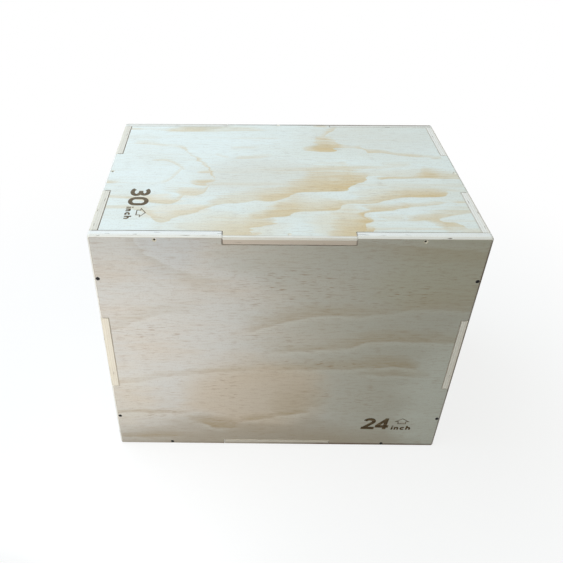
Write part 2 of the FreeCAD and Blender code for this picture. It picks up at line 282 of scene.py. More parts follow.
TOP_FIGURE = [
    # The long wave across the middle
    Ring(
        [(0, 0.205), (0.03, 0.198), (0.10, 0.19), (0.125, 0.172), (0.147, 0.132), (0.16, 0.105),
         (0.175, 0.095), (0.19, 0.104), (0.215, 0.14), (0.25, 0.157), (0.28, 0.19), (0.32, 0.234),
         (0.385, 0.246), (0.42, 0.263), (0.445, 0.257), (0.50, 0.285), (0.53, 0.323), (0.60, 0.336),
         (0.66, 0.341), (0.68, 0.375), (0.71, 0.411), (0.745, 0.472)],
        [(0, 0.02), (0.10, 0.03), (0.15, 0.06), (0.18, 0.07), (0.25, 0.045), (0.30, 0.06), (0.42, 0.12),
         (0.54, 0.13), (0.60, 0.25), (0.66, 0.25), (0.70, 0.15), (0.745, 0.02)],
        [(0, 0.45), (0.12, 0.5), (0.16, 0.6), (0.24, 0.55), (0.30, 0.6), (0.40, 0.5), (0.45, 0.8),
         (0.60, 0.9), (0.67, 1), (0.72, 0.9), (0.75, 0)],
        0.04,
    ),
    # The hook under the number, and the lobes beside it
    Ring(
        [(0, 0.28), (0.06, 0.275), (0.13, 0.255), (0.15, 0.24), (0.17, 0.232), (0.19, 0.233), (0.21, 0.252),
         (0.225, 0.30)],
        [(0, 0.02), (0.10, 0.03), (0.15, 0.045), (0.22, 0.04)],
        [(0, 0.45), (0.15, 0.55), (0.20, 0.6), (0.23, 0)],
        0,
    ),
    Ring(
        [(0.17, 0.335), (0.20, 0.325), (0.225, 0.302), (0.25, 0.30), (0.27, 0.308), (0.282, 0.33),
         (0.29, 0.38)],
        [(0.18, 0.07), (0.25, 0.06), (0.29, 0.03)],
        [(0.16, 0), (0.20, 0.25), (0.26, 0.6), (0.285, 0.5), (0.295, 0)],
        0,
    ),
    Ring(
        [(0.235, 0.41), (0.27, 0.405), (0.308, 0.416)],
        [(0.235, 0.014), (0.27, 0.022), (0.308, 0.012)],
        [(0.235, 0), (0.255, 0.5), (0.285, 0.8), (0.30, 0.6), (0.31, 0)],
        0.02,
    ),
    Ring(
        [(0.243, 0.397), (0.262, 0.385), (0.284, 0.387)],
        [(0.243, 0.012), (0.284, 0.022)],
        [(0.24, 0), (0.255, 0.7), (0.277, 0.8), (0.286, 0)],
        0.02,
    ),
    # The rings round the left end's heart
    Ring(
        [(0.06, 0.775), (0.11, 0.762), (0.15, 0.75), (0.19, 0.733), (0.21, 0.712), (0.225, 0.668),
         (0.25, 0.61), (0.27, 0.564), (0.283, 0.53), (0.287, 0.495), (0.297, 0.46), (0.308, 0.415)],
        [(0.06, 0.025), (0.20, 0.025), (0.22, 0.02), (0.25, 0.028), (0.308, 0.03)],
        [(0.05, 0), (0.09, 0.45), (0.14, 0.4), (0.17, 0.2), (0.21, 0.5), (0.23, 0.25), (0.252, 0.55),
         (0.27, 0.4), (0.286, 0.8), (0.30, 0.4), (0.308, 0)],
        0.04,
    ),
    Ring(
        [(0.255, 0.492), (0.28, 0.492), (0.292, 0.49)],
        [(0.255, 0.012), (0.292, 0.02)],
        [(0.25, 0), (0.28, 0.6), (0.292, 0)],
        0.02,
    ),
    Ring(
        [(0.12, 0.603), (0.15, 0.603), (0.175, 0.588), (0.19, 0.568), (0.205, 0.542), (0.217, 0.515)],
        [(0.12, 0.015), (0.217, 0.025)],
        [(0.115, 0), (0.14, 0.4), (0.18, 0.4), (0.21, 0.35), (0.22, 0)],
        0.01,
    ),
    Ring(
        [(0.155, 0.395), (0.175, 0.414), (0.185, 0.44), (0.195, 0.47), (0.205, 0.505), (0.213, 0.53)],
        [(0.155, 0.02), (0.213, 0.05)],
        [(0.15, 0), (0.18, 0.3), (0.205, 0.3), (0.215, 0)],
        0.01,
    ),
    Ring(
        [(0, 0.398), (0.06, 0.408)],
        [(0, 0.025), (0.06, 0.01)],
        [(0, 0.7), (0.02, 0.5), (0.05, 0)],
        0,
    ),
    # Faint patches along the back
    Ring(
        [(0, 0.93), (0.10, 0.925), (0.145, 0.912), (0.28, 0.907), (0.33, 0.915), (0.46, 0.925)],
        [(0, 0.02), (0.14, 0.03), (0.19, 0.06), (0.30, 0.06), (0.46, 0.035)],
        [(0, 0.3), (0.03, 0.45), (0.08, 0.15), (0.13, 0.2), (0.17, 0.6), (0.22, 0.6), (0.30, 0.3),
         (0.40, 0.35), (0.46, 0)],
        0.06,
    ),
    Ring(
        [(0.36, 0.622), (0.44, 0.638), (0.48, 0.655)],
        [(0.36, 0.03), (0.48, 0.03)],
        [(0.36, 0), (0.39, 0.35), (0.44, 0.25), (0.48, 0)],
        0.04,
    ),
    Ring(
        [(0.30, 0.66), (0.345, 0.632)],
        [(0.30, 0.02), (0.345, 0.02)],
        [(0.30, 0), (0.32, 0.3), (0.345, 0)],
        0.02,
    ),
    Ring(
        [(0.37, 0.824), (0.42, 0.829), (0.52, 0.83)],
        [(0.37, 0.02), (0.52, 0.015)],
        [(0.36, 0), (0.43, 0.25), (0.52, 0)],
        0.04,
    ),
    Ring(
        [(0.34, 0.732), (0.44, 0.732)],
        [(0.34, 0.018), (0.44, 0.018)],
        [(0.34, 0), (0.38, 0.25), (0.44, 0)],
        0.04,
    ),
    # The patch behind the middle, with its tail to the right and its branch to the back
    Ring(
        [(0.57, 0.72), (0.60, 0.706), (0.63, 0.699), (0.66, 0.703), (0.672, 0.742), (0.73, 0.739),
         (0.748, 0.728), (0.765, 0.692), (0.79, 0.695), (0.85, 0.669), (0.90, 0.655), (0.94, 0.65),
         (0.955, 0.64), (0.98, 0.64)],
        [(0.57, 0.03), (0.60, 0.07), (0.625, 0.15), (0.655, 0.14), (0.68, 0.04), (0.72, 0.014),
         (0.765, 0.035), (0.80, 0.022), (0.98, 0.02)],
        [(0.565, 0), (0.60, 0.75), (0.65, 1), (0.69, 0.6), (0.72, 0.35), (0.77, 0.7), (0.84, 0.45),
         (0.88, 0.65), (0.94, 0.3), (0.965, 0.45), (0.98, 0)],
        0.05,
    ),
    Ring(
        [(0.612, 0.832), (0.64, 0.826), (0.67, 0.815)],
        [(0.612, 0.025), (0.67, 0.02)],
        [(0.61, 0), (0.63, 0.8), (0.66, 0.5), (0.675, 0)],
        0.02,
    ),
    Ring(
        [(0.628, 0.83), (0.645, 0.87), (0.655, 0.897), (0.668, 0.915), (0.685, 0.955)],
        [(0.628, 0.05), (0.685, 0.03)],
        [(0.622, 0), (0.632, 0.35), (0.65, 0.45), (0.66, 0.6), (0.675, 0.45), (0.69, 0)],
        0.02,
    ),
    Ring(
        [(0.615, 0.965), (0.66, 0.965)],
        [(0.615, 0.03), (0.66, 0.03)],
        [(0.61, 0), (0.64, 0.4), (0.66, 0)],
        0.02,
    ),
    # Streaks behind the wave, and the patch at the right edge
    Ring(
        [(0.41, 0.52), (0.53, 0.514), (0.60, 0.518), (0.66, 0.532), (0.80, 0.545), (0.90, 0.57)],
        [(0.41, 0.025), (0.60, 0.035), (0.90, 0.02)],
        [(0.40, 0), (0.48, 0.2), (0.55, 0.3), (0.61, 0.5), (0.68, 0.5), (0.76, 0.4), (0.82, 0.2), (0.90, 0)],
        0.04,
    ),
    Ring(
        [(0.66, 0.47), (0.78, 0.475), (0.90, 0.485)],
        [(0.66, 0.06), (0.90, 0.06)],
        [(0.64, 0), (0.72, 0.3), (0.90, 0.3), (0.93, 0)],
        0,
    ),
    Ring(
        [(0.78, 0.565), (0.88, 0.57)],
        [(0.78, 0.035), (0.88, 0.035)],
        [(0.78, 0), (0.84, 0.3), (0.88, 0)],
        0.04,
    ),
    Ring(
        [(0.77, 0.442), (0.80, 0.452), (0.84, 0.451), (0.88, 0.458), (0.96, 0.454), (1, 0.448)],
        [(0.77, 0.02), (0.86, 0.03), (0.89, 0.06), (0.915, 0.10), (1, 0.08)],
        [(0.765, 0), (0.80, 0.8), (0.86, 0.6), (0.90, 0.95), (0.95, 0.65), (1, 0.5)],
        0.03,
    ),
    # The band in front of the wave
    Ring(
        [(0.40, 0.125), (0.44, 0.128), (0.475, 0.142), (0.50, 0.15), (0.525, 0.178), (0.60, 0.19),
         (0.635, 0.204), (0.648, 0.233), (0.67, 0.245), (0.715, 0.244), (0.77, 0.272), (0.83, 0.297),
         (0.90, 0.30), (0.92, 0.305), (0.942, 0.33)],
        [(0.40, 0.04), (0.46, 0.08), (0.50, 0.15), (0.56, 0.10), (0.63, 0.07), (0.66, 0.03), (0.71, 0.055),
         (0.90, 0.06), (0.942, 0.02)],
        [(0.395, 0), (0.43, 0.75), (0.50, 0.9), (0.56, 0.65), (0.635, 0.85), (0.66, 0.55), (0.72, 0.65),
         (0.80, 0.85), (0.90, 1), (0.93, 0.9), (0.945, 0)],
        0.03,
    ),
    Ring(
        [(0.78, 0.372), (0.85, 0.364), (0.90, 0.36), (0.98, 0.34)],
        [(0.78, 0.025), (0.98, 0.03)],
        [(0.77, 0), (0.83, 0.3), (0.92, 0.3), (0.98, 0.15)],
        0.04,
    ),
    # The patches at the front edge
    Ring(
        [(0.59, 0), (0.66, 0), (0.685, 0.03), (0.697, 0.09), (0.705, 0.145), (0.73, 0.186), (0.785, 0.20),
         (0.82, 0.22), (0.86, 0.231), (0.91, 0.25), (0.94, 0.253), (1, 0.256)],
        [(0.59, 0.02), (0.615, 0.15), (0.65, 0.20), (0.69, 0.14), (0.71, 0.08), (0.75, 0.05), (0.82, 0.03),
         (0.91, 0.015), (1, 0.014)],
        [(0.585, 0), (0.62, 0.6), (0.66, 0.85), (0.70, 0.95), (0.74, 0.8), (0.79, 0.85), (0.84, 0.5),
         (0.90, 0.5), (0.925, 0.1), (0.95, 0.6), (1, 0.6)],
        0.09,
    ),
    Ring(
        [(0.66, 0.095), (0.70, 0.102), (0.716, 0.116)],
        [(0.66, 0.05), (0.70, 0.045), (0.716, 0.01)],
        [(0.64, 0), (0.68, 0.85), (0.71, 1), (0.719, 0)],
        0,
    ),
    Ring(
        [(0.66, 0), (0.70, 0.03), (0.713, 0.058)],
        [(0.66, 0.09), (0.70, 0.045), (0.713, 0.01)],
        [(0.64, 0), (0.67, 0.85), (0.705, 0.95), (0.716, 0)],
        0,
    ),
    Ring(
        [(0.26, 0), (0.38, 0.004), (0.40, 0.04), (0.42, 0.06), (0.435, 0.076), (0.46, 0.093)],
        [(0.26, 0.08), (0.33, 0.15), (0.40, 0.11), (0.44, 0.05), (0.46, 0.01)],
        [(0.25, 0), (0.31, 0.4), (0.36, 0.58), (0.42, 0.68), (0.455, 0.65), (0.465, 0)],
        0.12,
    ),
    Ring(
        [(0.33, 0), (0.40, 0.008), (0.43, 0.02)],
        [(0.33, 0.03), (0.43, 0.01)],
        [(0.33, 0.5), (0.40, 0.6), (0.43, 0)],
        0.04,
    ),
    Ring(
        [(0.12, 0.045), (0.30, 0.045)],
        [(0.12, 0.06), (0.30, 0.06)],
        [(0.12, 0), (0.20, 0.2), (0.28, 0.2), (0.33, 0)],
        0.06,
    ),
    # The pale tongue at the front right corner
    Ring(
        [(0.82, 0.118), (0.86, 0.125), (0.885, 0.138), (0.93, 0.16), (1, 0.19)],
        [(0.82, 0.04), (0.87, 0.06), (1, 0.05)],
        [(0.80, 0), (0.86, 0.75), (0.90, 0.6), (0.96, 0.45), (1, 0.35)],
        0.03,
    ),
    Ring(
        [(0.85, 0.145), (0.88, 0.128), (0.895, 0.106), (0.92, 0.10), (0.935, 0.075), (0.96, 0.055),
         (1, 0.05)],
        [(0.85, 0.03), (0.89, 0.07), (0.94, 0.05), (1, 0.02)],
        [(0.83, 0), (0.87, 0.75), (0.91, 0.75), (0.95, 0.4), (1, 0.4)],
        0.05, BELOW,
    ),
    Ring(
        [(0.74, 0.14), (0.77, 0.123), (0.81, 0.13)],
        [(0.74, 0.03), (0.81, 0.04)],
        [(0.73, 0), (0.77, 0.35), (0.81, 0)],
        0.03,
    ),
]
FRONT_FIGURE = [
    Ring(
        [(0.10, 1), (0.12, 0.965), (0.15, 0.92), (0.20, 0.88), (0.28, 0.838), (0.36, 0.83)],
        [(0.10, 0.06), (0.36, 0.05)],
        [(0.08, 0), (0.14, 0.22), (0.26, 0.2), (0.36, 0)],
        0.06, BELOW,
    ),
    Ring(
        [(0.42, 0.615), (0.47, 0.645), (0.56, 0.68), (0.62, 0.69), (0.70, 0.688), (0.78, 0.70), (0.85, 0.72),
         (1, 0.715)],
        [(0.42, 0.08), (0.60, 0.05), (0.78, 0.04), (0.90, 0.10), (1, 0.10)],
        [(0.38, 0), (0.46, 0.35), (0.56, 0.45), (0.70, 0.35), (0.80, 0.25), (0.92, 0.3), (1, 0.3)],
        0.04,
    ),
    Ring(
        [(0.62, 0.55), (0.67, 0.54), (0.70, 0.548), (0.73, 0.566), (0.82, 0.575), (1, 0.565)],
        [(0.62, 0.03), (0.72, 0.055), (1, 0.05)],
        [(0.61, 0), (0.66, 0.35), (0.78, 0.5), (0.90, 0.45), (1, 0.35)],
        0.04,
    ),
    Ring(
        [(0.45, 0.516), (0.52, 0.522), (0.60, 0.53), (0.67, 0.537)],
        [(0.45, 0.015), (0.67, 0.02)],
        [(0.44, 0), (0.54, 0.4), (0.62, 0.45), (0.67, 0)],
        0.05,
    ),
    Ring(
        [(0.42, 0.43), (0.60, 0.433), (0.68, 0.438), (0.76, 0.446), (0.81, 0.45), (0.85, 0.446),
         (0.89, 0.436)],
        [(0.42, 0.05), (0.60, 0.05), (0.74, 0.055), (0.84, 0.06), (0.89, 0.03)],
        [(0.41, 0), (0.50, 0.2), (0.56, 0.35), (0.66, 0.4), (0.72, 0.45), (0.80, 0.65), (0.87, 0.5),
         (0.90, 0)],
        0.12,
    ),
    Ring(
        [(0.72, 0.41), (0.82, 0.405), (0.94, 0.40)],
        [(0.72, 0.03), (0.94, 0.03)],
        [(0.70, 0), (0.83, 0.4), (0.94, 0)],
        0.08,
    ),
    Ring(
        [(0.22, 0.147), (0.26, 0.136), (0.285, 0.122), (0.31, 0.11), (0.34, 0.106), (0.40, 0.115)],
        [(0.22, 0.04), (0.29, 0.07), (0.33, 0.07), (0.40, 0.03)],
        [(0.21, 0), (0.26, 0.45), (0.295, 0.65), (0.33, 0.6), (0.36, 0.4), (0.40, 0)],
        0.09,
    ),
    Ring(
        [(0.38, 0.152), (0.43, 0.154), (0.50, 0.17)],
        [(0.38, 0.02), (0.50, 0.02)],
        [(0.38, 0), (0.43, 0.6), (0.50, 0)],
        0.05,
    ),
    Ring(
        [(0.48, 0.183), (0.54, 0.19), (0.60, 0.207)],
        [(0.48, 0.035), (0.60, 0.03)],
        [(0.48, 0), (0.55, 0.65), (0.60, 0)],
        0.05,
    ),
    Ring(
        [(0.02, 0.046), (0.10, 0.047), (0.21, 0.056)],
        [(0.02, 0.022), (0.21, 0.02)],
        [(0, 0), (0.07, 0.5), (0.15, 0.4), (0.21, 0)],
        0.06,
    ),
    Ring(
        [(0, 0.188), (0.10, 0.192), (0.25, 0.185)],
        [(0, 0.012), (0.25, 0.012)],
        [(0, 0.4), (0.12, 0.4), (0.25, 0)],
        0.06,
    ),
    Ring(
        [(0.66, 0.985), (0.75, 0.968), (0.88, 0.955), (1, 0.944)],
        [(0.66, 0.04), (1, 0.06)],
        [(0.62, 0), (0.74, 0.2), (0.90, 0.3), (1, 0.25)],
        0.05, BELOW,
    ),
    Ring(
        [(0, 0.345), (0.10, 0.37), (0.22, 0.40), (0.36, 0.42), (0.46, 0.43)],
        [(0, 0.02), (0.46, 0.02)],
        [(0, 0.3), (0.12, 0.2), (0.30, 0.3), (0.46, 0)],
        0.05,
    ),
    Ring(
        [(0.48, 0.21), (0.56, 0.225), (0.66, 0.25)],
        [(0.48, 0.16), (0.66, 0.10)],
        [(0.46, 0), (0.54, 0.3), (0.66, 0)],
        0.06,
    ),
    Ring(
        [(0, 0.60), (0.06, 0.63), (0.12, 0.668), (0.18, 0.69), (0.30, 0.70)],
        [(0, 0.06), (0.30, 0.06)],
        [(0, 0.2), (0.15, 0.2), (0.30, 0)],
        0.05,
    ),
]

# Broad soft areas of another tint, some of them painted shade: the middle along and across, the half sizes,
# the colour and its strength.
# An area fades between two squares of the distance from its middle, where its rim is at 1
Area = namedtuple("Area", "along across half_along half_across colour strength")
AREA_RIM = (1.0, 0.1)
WARM = srgb(206, 187, 163)
# Painted shade: this brown darkens the front along its bottom
BROWN = srgb(170, 157, 138)
OLIVE = srgb(184, 180, 154)
# Painted shade: this grey darkens the front towards the right and along the top middle
SHADED = srgb(188, 186, 175)
GREEN_GREY = srgb(207, 208, 200)
BLUE_GREY = srgb(208, 211, 215)
CREAM = srgb(234, 220, 194)
PALE_CREAM = srgb(241, 229, 208)
GREY_WASH = srgb(226, 221, 209)
KHAKI = srgb(204, 195, 173)
# On the front, the grey area over the right half and along the top middle and the brown one along the bottom
# are painted shade, darker where less light falls; the pale grey-green patch at the lower right lightens
# that shade again, and the others are tints of the veneer
FRONT_AREAS = [
    Area(1.10, 0.55, 0.80, 1.30, SHADED, 0.9),
    Area(0.42, 0.28, 0.26, 0.26, WARM, 0.6),
    Area(0.40, 0.00, 0.62, 0.18, BROWN, 0.75),
    Area(0.55, 1.00, 0.30, 0.25, SHADED, 0.5),
    Area(0.97, 0.86, 0.30, 0.20, OLIVE, 0.35),
    Area(1.00, 0.28, 0.18, 0.42, GREEN_GREY, 1),
    Area(0.20, 0.96, 0.11, 0.13, BLUE_GREY, 0.5),
    Area(0.02, 0.26, 0.12, 0.22, CREAM, 0.15),
]
TOP_AREAS = [
    Area(0.35, 0.06, 0.16, 0.14, CREAM, 0.5),
    Area(0.64, 0.10, 0.11, 0.16, CREAM, 0.5),
    Area(0.56, 0.24, 0.18, 0.08, CREAM, 0.3),
    Area(0.20, 0.17, 0.10, 0.06, PALE_CREAM, 0.6),
    Area(0.15, 0.26, 0.10, 0.04, PALE_CREAM, 0.6),
    Area(0.25, 0.33, 0.06, 0.05, PALE_CREAM, 0.4),
    Area(0.45, 0.46, 0.25, 0.24, GREY_WASH, 0.6),
    Area(0.80, 0.85, 0.30, 0.25, GREY_WASH, 0.4),
    Area(0.80, 0.33, 0.14, 0.06, CREAM, 0.4),
    Area(0.635, 0.735, 0.05, 0.06, KHAKI, 0.6),
    Area(0.24, 0.945, 0.10, 0.05, KHAKI, 0.5),
]
# Where the front's flecks crowd together: the middle along and across, and the half sizes
FRONT_CROWDS = [
    (0.52, 0.80, 0.26, 0.12),
    (0.80, 0.77, 0.16, 0.07),
    (0.32, 0.345, 0.07, 0.05),
    (0.60, 0.455, 0.20, 0.03),
    (0.36, 0.285, 0.07, 0.02),
    (0.12, 0.60, 0.16, 0.05),
    (0.12, 0.18, 0.14, 0.03),
]

# Rings of the hidden panels: how many bends each has, the least and most of each draw, how far
# in from its ends a ring is at full strength, and the limits of its line across the panel
DRIFT_BENDS = 6
DRIFT_OFFSET = (0.1, 0.8)
DRIFT_START, DRIFT_END = (0.05, 0.5), (0.6, 0.95)
DRIFT_BEND = (-0.035, 0.04)
DRIFT_FADE = (0.02, 0.10)
DRIFT_STRENGTH = (0.3, 1)
DRIFT_TEETH = (0, 0.1)
DRIFT_TAPER = 0.06
DRIFT_LIMITS = (0.01, 0.97)


def drifting_figure(seed, count, strength):
    """Rings for a panel that the photograph doesn't show: long wavy lines, spaced unevenly."""
    draw = random.Random(seed)
    least, most = DRIFT_LIMITS
    figure = []
    for index in range(count):
        across = (index + draw.uniform(*DRIFT_OFFSET)) / count
        start = draw.choice((0, 0, draw.uniform(*DRIFT_START)))
        end = draw.choice((1, 1, draw.uniform(*DRIFT_END)))
        line = []
        for step in range(DRIFT_BENDS + 1):
            line.append((start + (end - start) * step / DRIFT_BENDS, min(max(across, least), most)))
            across += draw.uniform(*DRIFT_BEND)
        middle = (start + end) / 2
        fades = [(place, draw.uniform(*DRIFT_FADE)) for place in (start, middle, end)]
        strong = (start + DRIFT_TAPER, middle, end - DRIFT_TAPER)
        strengths = [(place, strength * draw.uniform(*DRIFT_STRENGTH)) for place in strong]
        if start > 0:
            strengths.insert(0, (start, 0))
        if end < 1:
            strengths.append((end, 0))
        figure.append(Ring(line, fades, strengths, draw.uniform(*DRIFT_TEETH)))
    return figure


# Each panel: its axes along the grain, across it and through the sheet, its outer side's sign, its veneer,
# the colours of its outer and inner plies, its figure, its areas of tint and painted shade and where its
# flecks crowd together
Panel = namedtuple(
    "Panel", "along across through outer veneer outer_ply inner_ply figure areas crowds", defaults=((), ())
)
# The plies' colours differ between panels to match how bright each panel's cut edges look: darker on the
# bottom, back and left end panels, as painted shade
PANELS = {
    "front_panel": Panel(
        X, Z, Y, -1, GREY_PINE, srgb(252, 249, 243), srgb(255, 254, 251),
        FRONT_FIGURE, FRONT_AREAS, FRONT_CROWDS,
    ),
    "back_panel": Panel(
        X, Z, Y, 1, GREY_PINE, srgb(222, 218, 208), srgb(240, 238, 231), drifting_figure(3, 9, 0.6)
    ),
    "left_end_panel": Panel(
        Y, Z, X, -1, CREAM_PINE, srgb(238, 231, 217), srgb(236, 229, 216), drifting_figure(5, 10, 0.8)
    ),
    "right_end_panel": Panel(
        Y, Z, X, 1, CREAM_PINE, srgb(253, 246, 237), srgb(255, 251, 245), drifting_figure(8, 10, 0.7)
    ),
    "bottom_panel": Panel(
        X, Y, Z, -1, CREAM_PINE, srgb(204, 197, 185), srgb(214, 208, 198), drifting_figure(13, 8, 0.8)
    ),
    "top_panel": Panel(
        X, Y, Z, 1, COOL_PINE, srgb(252, 249, 243), srgb(220, 207, 195), TOP_FIGURE, TOP_AREAS
    ),
    "inner_brace": Panel(
        Y, Z, X, 1, CREAM_PINE, srgb(248, 240, 226), srgb(244, 234, 218), drifting_figure(21, 5, 0.6)
    ),
}


class Value:
    """A node's output, which can be used in sums."""

    def __init__(self, graph, socket):
        self.graph = graph
        self.socket = socket

    def __add__(self, other):
        return self.graph.math("ADD", self, other)

    def __sub__(self, other):
        return self.graph.math("SUBTRACT", self, other)

    def __rsub__(self, other):
        return self.graph.math("SUBTRACT", other, self)

    def __mul__(self, other):
        return self.graph.math("MULTIPLY", self, other)

    def __truediv__(self, other):
        return self.graph.math("DIVIDE", self, other)

    __radd__ = __add__
    __rmul__ = __mul__


class Graph:
    """A material, whose nodes are added one expression at a time."""

    def __init__(self, name):
        self.material = bpy.data.materials.new(name)
        self.material.use_nodes = True
        self.tree = self.material.node_tree
        self.shader = self.tree.nodes["Principled BSDF"]
        place = self.tree.nodes.new("ShaderNodeTexCoord").outputs["Object"]
        parts = self.tree.nodes.new("ShaderNodeSeparateXYZ")
        self.tree.links.new(place, parts.inputs[0])
        self.place = [Value(self, socket) for socket in parts.outputs]

    def node(self, kind, inputs, output=0, **settings):
        """Adds a node, sets or links its inputs, and returns one of its outputs."""
        node = self.tree.nodes.new(kind)
        for name, value in settings.items():
            setattr(node, name, value)
        for key, value in inputs.items():
            self.feed(node.inputs[key], value)
        return Value(self, node.outputs[output])

    def feed(self, socket, value):
        """Links a value to a socket, or sets the socket to a plain number or colour."""
        if isinstance(value, Value):
            self.tree.links.new(value.socket, socket)
        else:
            socket.default_value = value

    def math(self, operation, *values, clamp=False):
        return self.node("ShaderNodeMath", dict(enumerate(values)), operation=operation, use_clamp=clamp)

    def largest(self, values):
        """The largest of several values."""
        values = list(values)
        result = values[0]
        for value in values[1:]:
            result = self.math("MAXIMUM", result, value)
        return result

    def step(self, value, start, end):
        """Rises smoothly from 0 at start to 1 at end, or falls where end comes first."""
        inputs = {"Value": value, "From Min": start, "From Max": end}
        return self.node("ShaderNodeMapRange", inputs, interpolation_type="SMOOTHSTEP")

    def scale(self, value, start, end, low, high):
        """Goes evenly from low at start to high at end, and no further."""
        inputs = {"Value": value, "From Min": start, "From Max": end, "To Min": low, "To Max": high}
        return self.node("ShaderNodeMapRange", inputs)

    def mix(self, share, first, second):
        """A colour between two others."""
        return self.node("ShaderNodeMix", {0: share, 6: first, 7: second}, 2, data_type="RGBA")

    def noise(self, x, y, z=0.0, detail=2.0, roughness=0.5):
        """Noise about 0, at places given in numbers of its own features."""
        place = self.node("ShaderNodeCombineXYZ", {0: x, 1: y, 2: z})
        inputs = {"Vector": place, "Scale": 1.0, "Detail": detail, "Roughness": roughness}
        return self.node("ShaderNodeTexNoise", inputs) - 0.5

    def layer(self, layer, along, across, through):
        """A layer's noise at a place."""
        third = through * layer.through if layer.through else 0.0
        return self.noise(along * layer.along, across * layer.across, third, layer.detail)

    def shows(self, layer, value):
        """How plainly a layer shows where its noise has a value."""
        return self.step(value, layer.start, layer.end) * layer.strength

    def curve(self, value, points):
        """A smooth line through points, from 0 to 1 both ways."""
        result = self.node("ShaderNodeFloatCurve", {"Value": value})
        mapping = result.socket.node.mapping
        mapping.extend = "HORIZONTAL"
        line = mapping.curves[0].points
        for point, place in zip(line, (points[0], points[-1])):
            point.location = place
        for place in points[1:-1]:
            line.new(*place)
        for point in line:
            point.handle_type = "AUTO_CLAMPED"
        mapping.update()
        return result

    def relief(self, height, distance):
        """Bump from a height of 0 to 1, that many metres high."""
        inputs = {"Height": height, "Distance": distance}
        self.feed(self.shader.inputs["Normal"], self.node("ShaderNodeBump", inputs))

    def finish(self, **sockets):
        """Sets the shader's sockets, by their names with _ for a space."""
        for name, value in sockets.items():
            self.feed(self.shader.inputs[name.replace("_", " ")], value)
        return self.material


def ring_tones(graph, ring, along, across, teeth, feather, edge):
    """How tan a ring makes each place, sharp at its line and paler behind it, and its pale rim."""
    along = along + teeth * ring.teeth
    behind = (across - graph.curve(along, ring.line)) * ring.side
    fade = (graph.curve(along, ring.fades) + LEAST_FADE) * feather
    faded = graph.math("POWER", graph.math("DIVIDE", behind, fade, clamp=True), FADE_POWER)
    strength = graph.curve(along, ring.strengths)
    tan = graph.step(behind, -edge, 0.0)
    rim = graph.step(behind, -RIM_REACH * edge, -edge) * (1 - tan)
    return tan * (1 - faded) * strength, rim * strength


def inside(graph, along, across, middle_along, middle_across, half_along, half_across):
    """1 in the middle of an ellipse, down to 0 at its rim."""
    off_along = (along - middle_along) / half_along
    off_across = (across - middle_across) / half_across
    return graph.step(off_along * off_along + off_across * off_across, *AREA_RIM)


def seam(graph):
    """1 on the eased edges of the finger joints, which lie at a slant and clear of the round-overs."""
    normal = graph.node("ShaderNodeNewGeometry", {}, "True Normal")
    kinds = {"vector_type": "NORMAL", "convert_to": "OBJECT"}
    parts = graph.tree.nodes.new("ShaderNodeSeparateXYZ")
    graph.feed(parts.inputs[0], graph.node("ShaderNodeVectorTransform", {0: normal}, **kinds))
    steepest = graph.largest(graph.math("ABSOLUTE", Value(graph, socket)) for socket in parts.outputs)
    depths = []
    for place, low, high in zip(graph.place, LOW, HIGH):
        depths.append(graph.math("MINIMUM", place - low, high - place))
    nearest = graph.math("MINIMUM", graph.math("MINIMUM", depths[X], depths[Y]), depths[Z])
    farthest = graph.largest(depths)
    second = depths[X] + depths[Y] + depths[Z] - nearest - farthest
    at_face = graph.step(nearest, *SEAM_DEPTH)
    clear = graph.step(second, ROUND_OVER, ROUND_OVER + SEAM_CLEARANCE)
    return graph.step(steepest, *SEAM_LEAN) * at_face * clear


def seam_and_rim_darkening(graph):
    """How dark the seams are (painted shade and dirt), and the rims (painted shade at the floor and up the
    right, a dark line along the back).
    """
    x, y, z = graph.place
    from_top, from_back, from_right = HIGH.z - z, HIGH.y - y, HIGH.x - x
    right_tight = graph.scale(x, *TIGHT_RIGHT, 0.0, TIGHT_RIGHT_SHARE)
    back_tight = graph.step(from_back, *TIGHT_BACK) * TIGHT_BACK_SHARE
    tight = graph.largest([right_tight, back_tight]) * graph.step(from_top, *TIGHT_TOP)
    seam_shade_and_dirt = graph.scale(z, *SEAM_HEIGHTS, LOW_SEAM_SHADE_AND_DIRT, 1.0) * (1 - tight)

    rightward = graph.scale(x, *RIM_DARKENING_GROWS, LEAST_RIM_DARKENING, 1.0)
    right_rim = graph.step(from_right, *RIGHT_RIM_SHADE) * graph.step(y - LOW.y, *RIGHT_RIM_SHADE_DEPTH)
    # Painted shade on the rims at the floor and up the right, and a dark line along the back, growing
    # towards the right at the floor and the back
    rim_darkening = graph.largest([
        graph.step(z - LOW.z, *FLOOR_CONTACT_SHADE) * rightward,
        graph.step(from_top, *BACK_RIM_LINE_DROP) * graph.step(from_back, *BACK_RIM_LINE) * rightward,
        right_rim * graph.step(from_top, *RIGHT_RIM_SHADE_DROP),
    ])
    return seam_shade_and_dirt, rim_darkening * graph.scale(graph.layer(RIM_DARKENING_PATCHES, x, y, z), *PATCHY, *RIM_DARKENING_SHARES)


